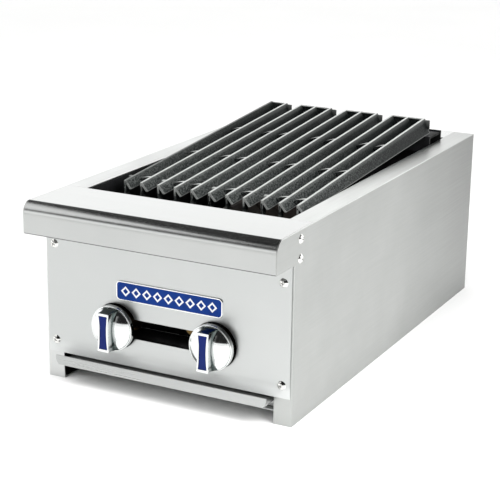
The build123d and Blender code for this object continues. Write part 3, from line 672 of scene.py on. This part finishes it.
def grate_tree():
    """Lays blades side by side, links between them, a stub before the first and a lug on the last."""
    tree, given, made = nodes_tree(
        "grate_section",
        (
            ("Geometry", "NodeSocketGeometry"),
            ("Blades", "NodeSocketInt"),
            ("Pitch", "NodeSocketFloat"),
            ("First Ridge", "NodeSocketFloat"),
            ("Blade", "NodeSocketObject"),
            ("Links", "NodeSocketObject"),
            ("Stub", "NodeSocketObject"),
            ("Lug", "NodeSocketObject"),
            ("Unevenness", "NodeSocketFloat"),
            ("Material", "NodeSocketMaterial"),
        ),
    )
    start = place(tree, "ShaderNodeCombineXYZ", {"X": given["First Ridge"]})
    step = place(tree, "ShaderNodeCombineXYZ", {"X": given["Pitch"]})
    fewer = reckon(tree, "SUBTRACT", given["Blades"], 1.0)
    reach = reckon(tree, "MULTIPLY", fewer, given["Pitch"])
    last = reckon(tree, "ADD", reach, given["First Ridge"])
    end = place(tree, "ShaderNodeCombineXYZ", {"X": last})
    rows = (
        ("Blade", given["Blades"], start),
        ("Links", fewer, start),
        ("Stub", 1, start),
        ("Lug", 1, end),
    )
    joined = place(tree, "GeometryNodeJoinGeometry")
    for label, count, first in rows:
        copies = row_of_copies(tree, given[label], count, first.outputs[0], step.outputs[0])
        tree.links.new(copies, joined.inputs["Geometry"])
    solid = place(tree, "GeometryNodeRealizeInstances", {"Geometry": joined.outputs["Geometry"]})
    where = tree.nodes.new("GeometryNodeInputPosition")
    wander = place(tree, "ShaderNodeTexNoise", {"Vector": where.outputs[0], "Scale": 32.0, "Detail": 2.0})
    middle = {0: wander.outputs["Color"], 1: (0.5, 0.5, 0.5)}
    centred = place(tree, "ShaderNodeVectorMath", middle, operation="SUBTRACT")
    pushed = scaled(tree, centred.outputs[0], given["Unevenness"])
    moved = {"Geometry": solid.outputs["Geometry"], "Offset": pushed}
    uneven = place(tree, "GeometryNodeSetPosition", moved)
    hand_over(tree, uneven.outputs["Geometry"], given, made)
    return tree


def mesh_by_nodes(name, tree, points, **values):
    """The plain mesh that a Geometry Nodes tree makes, with its inputs set by identifier first."""
    carrier = put_in_scene(name, points)
    maker = carrier.modifiers.new(name, "NODES")
    maker.node_group = tree
    for socket in tree.interface.items_tree:
        label = socket.name.replace(" ", "_").lower()
        if socket.in_out == "INPUT" and label in values:
            maker[socket.identifier] = values[label]
    graph = bpy.context.evaluated_depsgraph_get()
    mesh = bpy.data.meshes.new_from_object(carrier.evaluated_get(graph), depsgraph=graph)
    mesh.name = name
    carrier.modifiers.remove(maker)
    bpy.data.objects.remove(carrier)
    return mesh


grate_iron, tree, shader, surface = new_material("cast_grate_iron")
shader.inputs["Specular IOR Level"].default_value = 0.18
looks = {"Place": surface, "Grit Size": 520.0, "Grit Depth": 0.8}
skin = place(tree, "ShaderNodeGroup", looks, node_tree=cast_group).outputs
where = place(tree, "ShaderNodeSeparateXYZ", {0: surface}).outputs
# The plates are painted lighter toward the front: painted light for the front of the grate, which catches
# more light than the rear.
front_painted_light = ramp(tree, where["Y"], blade_front, 0.45 * blade_rear, 1.0, 0.0)
speckled = ramp(tree, skin["Grit"], 0.45, 0.60)
seasoned = mixed_colour(tree, speckled, (0.002, 0.003, 0.003), (0.016, 0.019, 0.018))
painted_lit_iron = mixed_colour(tree, speckled, (0.004, 0.006, 0.006), (0.095, 0.102, 0.098))
iron_colour = mixed_colour(tree, front_painted_light, seasoned, painted_lit_iron)
wear_and_shade_mark = place(tree, "ShaderNodeAttribute", attribute_name="worn").outputs["Fac"]
patchy = ramp(tree, skin["Patches"], 0.2, 0.45, 0.7, 1.0)
scraped = reckon(tree, "MULTIPLY", wear_and_shade_mark, patchy)
ridge_colour = mixed_colour(tree, scraped, iron_colour, (0.62, 0.64, 0.62))
# Below zero the mark darkens the iron to 12 % and roughens it: painted shade under the ridges, in the ties'
# hollows and on the rear bar, with some soot.
soot_and_painted_shade = ramp(tree, wear_and_shade_mark, 0.0, -1.0, 1.0, 0.12)
tree.links.new(scaled(tree, ridge_colour, soot_and_painted_shade), shader.inputs["Base Color"])
gloss = ramp(tree, scraped, 0.0, 1.0, 0.60, 0.36)
dry = reckon(tree, "ADD", gloss, reckon(tree, "SUBTRACT", 1.0, soot_and_painted_shade), use_clamp=True)
tree.links.new(dry, shader.inputs["Roughness"])
shade_between(tree, scraped, 0.12, 0.75, shader.inputs["Metallic"], 0.0, 1.0)
tree.links.new(skin["Normal"], shader.inputs["Normal"])

grate_tools = {
    "blade": put_in_scene("blade_tool", cast_blade()),
    "links": put_in_scene("links_tool", cast_links()),
    "stub": put_in_scene("stub_tool", cast_stub()),
    "lug": put_in_scene("lug_tool", cast_lug()),
}
section_tree = grate_tree()
section_bodies = ("first_grate", "second_grate", "third_grate", "fourth_grate")
ridge_x = first_ridge
for number, (count, body) in enumerate(zip(blade_counts, section_bodies), start=1):
    casting = mesh_by_nodes(
        f"grate_casting_{number}",
        section_tree,
        bpy.data.meshes.new("grate_points"),
        blades=count,
        pitch=blade_pitch,
        first_ridge=ridge_x,
        unevenness=0.35 * mm,
        material=grate_iron,
        **grate_tools,
    )
    casting.set_sharp_from_angle(angle=soft_below)
    if number == 1:  # the scraper hardly reaches the ridge beside the wall
        for vertex, mark in zip(casting.vertices, casting.attributes["worn"].data):
            if vertex.co.x < first_ridge + 2 * mm:
                mark.value *= 0.25
    add_piece(f"grate_casting_{number}", casting, grate_iron, body, "cast_grate", f"grate_{number}")
    ridge_x += (count - 1) * blade_pitch + section_step
for tool in grate_tools.values():
    bpy.data.objects.remove(tool)

# ---- Front panel and front rail ----
# The panel is one stainless sheet with a punched opening for the knobs; the rail is a folded nose
# that hangs over it, held by two screws at each end.

broken_edge_sheet("front_sheet", "front_panel", stainless_satin, sheet_edge)
broken_edge_sheet("rail_sheet", "front_rail", stainless_rail, sheet_edge)

# ---- Nameplate ----
# A die-cast plate stuck on the panel, with a bright rim round a blue enamel field. The field has
# a plain row of white lozenges in place of any wording.

field_low, field_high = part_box("nameplate_face")
plate_silver = burnt_metal(
    "bright_cast_rim", (0.86, 0.87, 0.88), (0.80, 0.81, 0.82), 0.16, 0.26, 1.0, 60.0, fine_speck, 0.03 * mm
)


def enamel(name, colour, deep, roughness):
    """Glossy fired enamel with faint waves in its surface."""
    material, tree, shader, surface = new_material(name, Roughness=roughness)
    shader.inputs["Specular IOR Level"].default_value = 0.10
    waves = place(tree, "ShaderNodeTexNoise", {"Vector": surface, "Scale": 120.0, "Detail": 2.0})
    shade_between(tree, waves.outputs["Fac"], deep, colour, shader.inputs["Base Color"])
    roughen(tree, shader, 0.15, 0.2 * mm, waves.outputs["Fac"])
    return material


plate_blue = enamel("blue_enamel_field", (0.005, 0.038, 0.225), (0.004, 0.031, 0.19), 0.45)
plate_white = enamel("white_enamel_marks", (0.86, 0.87, 0.88), (0.80, 0.81, 0.83), 0.4)
broken_edge_sheet("nameplate_rim", "nameplate_frame", plate_silver, 0.25 * mm, "chassis", "plate_silver")
finish_as(plate_blue, "nameplate_face")


def lozenge(width, height, stroke, thickness):
    """One raised lozenge ring, standing upright and facing the front."""
    shape = bmesh.new()
    rings = []
    for shrink, depth in ((0.0, 0.0), (0.0, -thickness), (stroke, -thickness), (stroke, 0.0)):
        half_w = width / 2 - shrink * 1.3
        half_h = height / 2 - shrink * 1.3
        corners = ((half_w, 0), (0, half_h), (-half_w, 0), (0, -half_h))
        rings.append([shape.verts.new((x, depth, z)) for x, z in corners])
    bridge(shape, rings + rings[:1])
    return mesh_from(shape, "lozenge")


def row_tree():
    """A straight row of one shape at an even spacing."""
    tree, given, made = nodes_tree(
        "row_of_marks",
        (
            ("Geometry", "NodeSocketGeometry"),
            ("Count", "NodeSocketInt"),
            ("Start", "NodeSocketVector"),
            ("Spacing", "NodeSocketVector"),
            ("Shape", "NodeSocketObject"),
            ("Material", "NodeSocketMaterial"),
        ),
    )
    copies = row_of_copies(tree, given["Shape"], given["Count"], given["Start"], given["Spacing"])
    solid = place(tree, "GeometryNodeRealizeInstances", {"Geometry": copies})
    hand_over(tree, solid.outputs["Geometry"], given, made)
    return tree


mark_count = 9
field_width = field_high.x - field_low.x
mark_spacing = field_width / (mark_count + 0.6)
field_middle = (field_low + field_high) / 2
mark = lozenge(width=0.86 * mark_spacing, height=11.6 * mm, stroke=1.9 * mm, thickness=0.15 * mm)
mark_tool = put_in_scene("mark_tool", mark)
first_mark_x = field_middle.x - mark_spacing * (mark_count - 1) / 2
marks_mesh = mesh_by_nodes(
    "nameplate_marks",
    row_tree(),
    bpy.data.meshes.new("mark_points"),
    count=mark_count,
    start=(first_mark_x, field_low.y + 0.02 * mm, field_middle.z),
    spacing=(mark_spacing, 0.0, 0.0),
    shape=mark_tool,
    material=plate_white,
)
bpy.data.objects.remove(mark_tool)
add_piece("nameplate_marks", marks_mesh, plate_white, "chassis", "plate_silver")

# ---- Knobs ----
# Chromed zinc castings: a shallow dome with a beaded rim and a tall grip bar that is waisted in
# the middle. A blue enamel strip is let into the face of the bar.


def plated_chrome(name, colour, roughness):
    """Polished plating with faint wiping marks and waves from buffing, painted a dark grey-green where the
    mesh's shade mark says: painted shade for the dark reflections in its corners.
    """
    material, tree, shader, surface = new_material(name, Metallic=1.0)
    wipes = place(tree, "ShaderNodeTexNoise", {"Vector": surface, "Scale": 260.0, "Detail": 5.0})
    shade_between(tree, wipes.outputs["Fac"], roughness, roughness * 2.2, shader.inputs["Roughness"])
    waves = place(tree, "ShaderNodeTexNoise", {"Vector": surface, "Scale": 70.0, "Detail": 1.0})
    shaded = tuple(0.94 * share for share in colour)
    plating = shade_between(tree, waves.outputs["Fac"], shaded, colour, shader.inputs["Base Color"])
    film_and_painted_shade = place(tree, "ShaderNodeAttribute", attribute_name="painted_shade").outputs["Fac"]
    tree.links.new(mixed_colour(tree, film_and_painted_shade, plating, (0.05, 0.068, 0.065)), shader.inputs["Base Color"])
    roughen(tree, shader, 0.08, 0.4 * mm, waves.outputs["Fac"])
    return material


knob_chrome = plated_chrome("knob_chrome_plate", (0.80, 0.82, 0.815), 0.05)
knob_blue = enamel("knob_blue_enamel", (0.008, 0.018, 0.12), (0.006, 0.014, 0.10), 0.45)


def waisted_rim(half_length, end_half, waist_half, corner, steps=14):
    """Points round an upright bar whose long sides draw in at the middle, with rounded corners."""
    quarter = []
    for number in range(steps + 1):
        v = (half_length - corner) * number / steps
        share = v / half_length
        quarter.append((waist_half + (end_half - waist_half) * share**2, v))
    corner_x = quarter[-1][0] - corner
    corner_v = half_length - corner
    for number in range(1, 5):
        turn = math.radians(22.5 * number)
        quarter.append((corner_x + corner * math.cos(turn), corner_v + corner * math.sin(turn)))
    half = quarter + [(-u, v) for u, v in reversed(quarter)]
    return half + [(-u, -v) for u, v in half[1:-1]]


def bar_ring(shape, y, centre_x, centre_z, sizes):
    """One ring of points round a knob's bar, from its sizes in millimetres."""
    rim = waisted_rim(*(size * mm for size in sizes))
    return [shape.verts.new((centre_x + u, y, centre_z + v)) for u, v in rim]


def lathe(shape, places, centre, axis, steps):
    """Turns a line of places into a round solid about an axis."""
    points = [shape.verts.new(spot) for spot in places]
    edges = [shape.edges.new(pair) for pair in zip(points, points[1:])]
    bmesh.ops.spin(
        shape, geom=points + edges, cent=centre, axis=axis, angle=math.tau, steps=steps, use_merge=True
    )
    bmesh.ops.remove_doubles(shape, verts=shape.verts, dist=0.01 * mm)


def knob_mesh(node, name):
    """Dome, rim bead and grip bar of one knob, round the middle of its CAD node."""
    low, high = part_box(node)
    centre_x = (low.x + high.x) / 2
    centre_z = (low.z + high.z) / 2
    radius = (high.x - low.x) / 2
    face_y = low.y
    rim_front = face_y + 17.0 * mm
    rim_back = rim_front + 4.0 * mm
    dome = 7.5 * mm
    shape = bmesh.new()

    sphere = (radius**2 + dome**2) / (2 * dome)
    profile = [(0.0, rim_front - dome)]
    for number in range(1, 15):
        reach = (radius - 1.6 * mm) * number / 14
        profile.append((reach, rim_front - dome + sphere - math.sqrt(sphere**2 - reach**2)))
    bead = 0.75 * mm
    profile.append((radius - 2 * bead, rim_front - 0.1 * mm))
    for number in range(0, 9):
        turn = math.radians(180 - 22.5 * number)
        profile.append((radius - bead + bead * math.cos(turn), rim_front - 0.55 * mm * math.sin(turn)))
    boss = 8.0 * mm
    bore = 3.3 * mm
    skirt_back = rim_front + 0.9 * mm
    profile += [
        (radius, rim_back + 0.5 * mm),
        (radius - 0.4 * mm, rim_back),
        (radius - 2.0 * mm, rim_back),
        (radius - 3.2 * mm, skirt_back),
        (boss, skirt_back),
        (boss, high.y),
        (bore, high.y),
        (bore, rim_front),
        (0.0, rim_front),
    ]
    places = [(centre_x + reach, y, centre_z) for reach, y in profile]
    lathe(shape, places, (centre_x, 0, centre_z), (0, 1, 0), 72)

    bar_height = rim_front - face_y
    # share of the way back, half length, half width at the end and the waist, corner, painted shade
    levels = (
        (1.0, 23.3, 10.6, 7.0, 1.0, 1.0),
        (0.90, 23.1, 9.6, 6.5, 1.0, 1.0),
        (0.78, 22.8, 8.5, 6.0, 1.1, 0.90),
        (0.60, 22.5, 7.4, 5.55, 1.2, 1.0),
        (0.51, 22.4, 7.1, 5.45, 1.2, 0.97),
        (0.44, 22.3, 6.95, 5.4, 1.2, 0.66),
        (0.20, 22.0, 6.9, 5.7, 1.1, 0.42),
        (0.06, 21.9, 7.2, 6.2, 1.0, 0.20),
        (0.03, 21.9, 7.35, 6.4, 1.0, 0.0),
        (0.008, 21.75, 7.2, 6.25, 0.9, 0.0),
        (0.0, 21.5, 6.95, 6.0, 0.8, 0.0),
        (0.0, 19.1, 5.5, 4.2, 0.5, 0.0),
        (0.004, 18.95, 5.35, 4.05, 0.5, 0.0),
        (0.036, 18.6, 5.2, 3.9, 0.4, 0.0),
    )
    # The bar's flank is painted dark toward its foot, and its top end fully: painted shade standing in for
    # the dark reflections there.
    painted_shade = shape.verts.layers.float.new("painted_shade")
    rings = []
    for share, *sizes, film_and_painted_shade in levels:
        ring = bar_ring(shape, face_y + bar_height * share, centre_x, centre_z, sizes)
        for vertex in ring:
            top_end = film_and_painted_shade > 0 and vertex.co.z - centre_z > (sizes[0] - 0.5) * mm
            vertex[painted_shade] = 1.0 if top_end else film_and_painted_shade
        rings.append(ring)
    bridge(shape, rings)
    close_ends(shape, rings)
    return mesh_from(shape, name)


def strip_mesh(node, name):
    """The enamel strip of one knob, slightly crowned."""
    low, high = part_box(node)
    centre_x = (low.x + high.x) / 2
    centre_z = (low.z + high.z) / 2
    shape = bmesh.new()
    levels = (
        (high.y, 18.55, 5.15, 3.85, 0.4),
        (low.y + 0.15 * mm, 18.5, 5.1, 3.8, 0.4),
        (low.y, 18.1, 4.7, 3.4, 0.4),
    )
    rings = [bar_ring(shape, y, centre_x, centre_z, sizes) for y, *sizes in levels]
    bridge(shape, rings)
    close_ends(shape, rings)
    return mesh_from(shape, name)


for hand in ("left", "right"):
    body = f"{hand}_knob"
    casting = knob_mesh(f"knob_{hand}", f"knob_casting_{hand}")
    add_piece(f"knob_casting_{hand}", casting, knob_chrome, body, "knob_chrome", f"knob_{hand}")
    strip = strip_mesh(f"knob_insert_{hand}", f"knob_strip_{hand}")
    add_piece(f"knob_strip_{hand}", strip, knob_blue, body, "knob_blue", f"knob_insert_{hand}")

# ---- Drip tray ----
# A folded stainless pan that slides out under the front panel; its front edge is bent up as a lip
# with rounded lower corners.

tray_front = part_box("drip_tray")[0].y
# The tray is a darker copy of the stainless: painted shade. The front face of its lip is made partly
# non-metallic: painted light that lets the lamps light it.
tray_steel = sheet_metal("tray_steel", grain_across, (0.41, 0.42, 0.415), (0.46, 0.47, 0.465), 0.25, 0.36)
painted_light_strip(tray_steel, "Y", tray_front + 1.2 * mm, tray_front + 0.4 * mm, 0.35)
broken_edge_sheet("tray_sheet", "drip_tray", tray_steel, sheet_edge, "tray")

# ---- Screws ----
# Plated truss-head screws with a cross recess: four in the front panel, four in the ends of the
# rail and six in the back panel. All are one screw, turned to face out of its sheet.

screw_plate = plated_chrome("screw_plating", (0.80, 0.80, 0.78), 0.10)
head_radius = 5.2 * mm
head_height = 2.6 * mm
shank_radius = 2.4 * mm
screw_length = 9.0 * mm
recess_depth = 3.2 * mm


def truss_screw():
    """A screw whose head faces +Z and whose seat is at the origin."""
    shape = bmesh.new()
    sphere = (head_radius**2 + head_height**2) / (2 * head_height)
    profile = [(0.0, head_height)]
    for number in range(1, 9):
        reach = head_radius * number / 8
        profile.append((reach, head_height - sphere + math.sqrt(sphere**2 - reach**2)))
    profile += [
        (head_radius, 0.0),
        (shank_radius, 0.0),
        (shank_radius, -screw_length + 1 * mm),
        (shank_radius - 0.8 * mm, -screw_length),
        (0.0, -screw_length),
    ]
    lathe(shape, [(reach, 0, z) for reach, z in profile], (0, 0, 0), (0, 0, 1), 28)
    head = put_in_scene("plain_screw", mesh_from(shape, "plain_screw"))
    cross = bmesh.new()
    centre = Matrix.Translation((0, 0, head_height))
    for wide, tall in ((4.6, 1.0), (1.0, 4.6)):
        matrix = centre @ Matrix.Diagonal((wide * mm, tall * mm, recess_depth, 1.0))
        bmesh.ops.create_cube(cross, size=1.0, matrix=matrix)
    cutter = put_in_scene("cross_cutter", mesh_from(cross, "cross_cutter"))
    cut = head.modifiers.new("cross_recess", "BOOLEAN")
    cut.operation = "DIFFERENCE"
    cut.solver = "EXACT"
    cut.use_self = True
    cut.object = cutter
    graph = bpy.context.evaluated_depsgraph_get()
    mesh = bpy.data.meshes.new_from_object(head.evaluated_get(graph), depsgraph=graph)
    bpy.data.objects.remove(head)
    bpy.data.objects.remove(cutter)
    return mesh


def screw_tree():
    """Stands a screw on every point, turned to the way that the point faces."""
    tree, given, made = nodes_tree(
        "screws_on_points",
        (
            ("Geometry", "NodeSocketGeometry"),
            ("Screw", "NodeSocketObject"),
            ("Spin", "NodeSocketFloat"),
            ("Seed", "NodeSocketInt"),
            ("Material", "NodeSocketMaterial"),
        ),
    )
    lent = place(tree, "GeometryNodeObjectInfo", {"Object": given["Screw"], "As Instance": True})
    facing = place(tree, "GeometryNodeInputNamedAttribute", {"Name": "facing"}, data_type="FLOAT_VECTOR")
    turned = place(
        tree, "FunctionNodeAlignRotationToVector", {"Vector": facing.outputs["Attribute"]}, axis="Z"
    )
    chance = place(tree, "FunctionNodeRandomValue", {"Seed": given["Seed"]}, data_type="FLOAT")
    spin = reckon(tree, "MULTIPLY", chance.outputs[1], given["Spin"])
    about = place(tree, "FunctionNodeAxisAngleToRotation", {"Axis": (0, 0, 1), "Angle": spin})
    both = {"Rotation": turned.outputs[0], "Rotate By": about.outputs[0]}
    pose = place(tree, "FunctionNodeRotateRotation", both, rotation_space="LOCAL")
    stood = {"Points": given["Geometry"], "Instance": lent.outputs["Geometry"], "Rotation": pose.outputs[0]}
    copies = place(tree, "GeometryNodeInstanceOnPoints", stood)
    solid = place(tree, "GeometryNodeRealizeInstances", {"Geometry": copies.outputs["Instances"]})
    hand_over(tree, solid.outputs["Geometry"], given, made)
    return tree


def screw_points(places):
    """Points to stand screws on, from (place, way it faces) pairs."""
    points = bpy.data.meshes.new("screw_points")
    points.from_pydata([spot for spot, way in places], [], [])
    facing = points.attributes.new("facing", "FLOAT_VECTOR", "POINT")
    for number, (spot, way) in enumerate(places):
        facing.data[number].vector = way
    return points


front_low, front_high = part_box("front_screws")
side_low, side_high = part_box("side_screws")
rear_low, rear_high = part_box("rear_screws")
front_seat = front_low.y + head_height
front_x = front_high.x - head_radius
front_rows = (front_low.z + head_radius, front_high.z - head_radius)
side_seat = side_high.x - head_height
side_y = (side_low.y + side_high.y) / 2
side_rows = (side_low.z + head_radius, side_high.z - head_radius)
rear_seat = rear_high.y - head_height
rear_rows = (rear_low.z + head_radius, (rear_low.z + rear_high.z) / 2, rear_high.z - head_radius)
screw_rows = {
    "front": [((side * front_x, front_seat, z), (0, -1, 0)) for side in (-1, 1) for z in front_rows],
    "side": [((side * side_seat, side_y, z), (side, 0, 0)) for side in (-1, 1) for z in side_rows],
    "rear": [((side * front_x, rear_seat, z), (0, 1, 0)) for side in (-1, 1) for z in rear_rows],
}
screw_tool = put_in_scene("screw_tool", truss_screw())
stand_screws = screw_tree()
for number, (wall, places) in enumerate(screw_rows.items()):
    screws = mesh_by_nodes(
        f"truss_screws_{wall}",
        stand_screws,
        screw_points(places),
        screw=screw_tool,
        spin=math.pi,
        seed=number,
        material=screw_plate,
    )
    add_piece(f"truss_screws_{wall}", screws, screw_plate, "chassis", "screw_chrome", f"{wall}_screws")
bpy.data.objects.remove(screw_tool)

# ---- Floor, light and camera ----
# A pale floor and soft light: bright walls low down, a dim ceiling, and one broad light overhead.
# A white card lies in the air on the left for the folded nose to reflect, and a soft lamp on the
# right fills the side.

floor_mesh = bpy.data.meshes.new("floor")
half = 14.0
floor_corners = [(-half, -half, 0), (half, -half, 0), (half, half, 0), (-half, half, 0)]
floor_mesh.from_pydata(floor_corners, [], [(0, 1, 2, 3)])
floor = put_in_scene("floor", floor_mesh)
floor_paint, tree, shader, surface = new_material("pale_floor", Roughness=0.9)
cloud = place(tree, "ShaderNodeTexNoise", {"Vector": surface, "Scale": 2.0, "Detail": 2.0}).outputs["Fac"]
shade_between(tree, cloud, (0.90, 0.90, 0.895), (0.92, 0.92, 0.915), shader.inputs["Base Color"])
floor_mesh.materials.append(floor_paint)

world = bpy.data.worlds.new("studio")
bpy.context.scene.world = world
world.use_nodes = True
sky = world.node_tree
looking = sky.nodes.new("ShaderNodeTexCoord").outputs["Generated"]
height = place(sky, "ShaderNodeSeparateXYZ", {0: looking}).outputs["Z"]


def sector(direction, start, end):
    """How far, from 0 to 1, a ray looks into the part of the room that lies this way."""
    towards = place(sky, "ShaderNodeVectorMath", {0: looking, 1: direction}, operation="DOT_PRODUCT")
    return ramp(sky, towards.outputs["Value"], start, end, interpolation_type="SMOOTHSTEP")


wall_level = 1.6
least_level = 0.02
to_the_right = sector((0.62, -0.78, 0.0), 0.45, 0.75)
to_the_front = sector((-0.2, -0.98, 0.0), 0.15, 0.45)
right_shadow = reckon(sky, "MULTIPLY", to_the_right, ramp(sky, height, 0.0, 0.04))
front_shadow = reckon(sky, "MULTIPLY", to_the_front, ramp(sky, height, 0.20, 0.34))
lit = reckon(sky, "SUBTRACT", 1.0, reckon(sky, "MAXIMUM", right_shadow, front_shadow))
below_ceiling = ramp(sky, height, 0.48, 0.64, 1.0, 0.02, interpolation_type="SMOOTHSTEP")
level = reckon(sky, "MULTIPLY", reckon(sky, "MULTIPLY", below_ceiling, lit), wall_level)
background = sky.nodes["Background"]
background.inputs["Color"].default_value = (1.0, 1.0, 1.0, 1.0)
sky.links.new(reckon(sky, "ADD", level, least_level), background.inputs["Strength"])


def soft_light(name, place_at, aim, size, power, seen=False):
    """A broad area light that points at a place."""
    data = bpy.data.lights.new(name, "AREA")
    data.shape = "RECTANGLE"
    data.size = size[0]
    data.size_y = size[1]
    data.energy = power
    lamp = put_in_scene(name, data)
    lamp.location = place_at
    lamp.rotation_euler = (Vector(aim) - Vector(place_at)).to_track_quat("-Z", "Y").to_euler()
    lamp.visible_glossy = seen
    lamp.visible_camera = False
    return lamp


card_place = (-0.918, -0.767, 0.9)
card_foot = (-0.918, -0.767, 0.0)
left_card = soft_light("left_card", card_place, card_foot, (0.9, 1.0), 3.6, seen=True)
left_card.rotation_euler = (0, 0, math.radians(21.8))
soft_light("right_pool", (0.9, -0.45, 0.9), (0.30, -0.15, 0.0), (0.6, 0.6), 14.0)

overhead_data = bpy.data.lights.new("overhead", "SUN")
overhead_data.energy = 2.9
overhead_data.angle = math.radians(70)
overhead = put_in_scene("overhead", overhead_data)
overhead.rotation_euler = (math.radians(34), math.radians(-8), 0)
overhead.visible_glossy = False

camera_data = bpy.data.cameras.new("camera")
camera_data.lens = 106.16
camera_data.sensor_width = 36.0
camera = put_in_scene("camera", camera_data)
camera_azimuth = math.radians(27.213)
camera_elevation = math.radians(16.811)
camera_roll = math.radians(0.862)
backward = Vector(
    (
        math.sin(camera_azimuth) * math.cos(camera_elevation),
        -math.cos(camera_azimuth) * math.cos(camera_elevation),
        math.sin(camera_elevation),
    )
)
level_right = (-backward).cross(Vector((0, 0, 1))).normalized()
level_up = level_right.cross(-backward)
camera_right = level_right * math.cos(camera_roll) + level_up * math.sin(camera_roll)
camera_up = level_up * math.cos(camera_roll) - level_right * math.sin(camera_roll)
axes = Matrix((camera_right, camera_up, backward)).transposed().to_4x4()
camera_place = (0.76249, -1.54739, 0.62321)
camera.matrix_world = Matrix.Translation(camera_place) @ axes
bpy.context.scene.camera = camera
bpy.context.scene.view_settings.view_transform = "Standard"
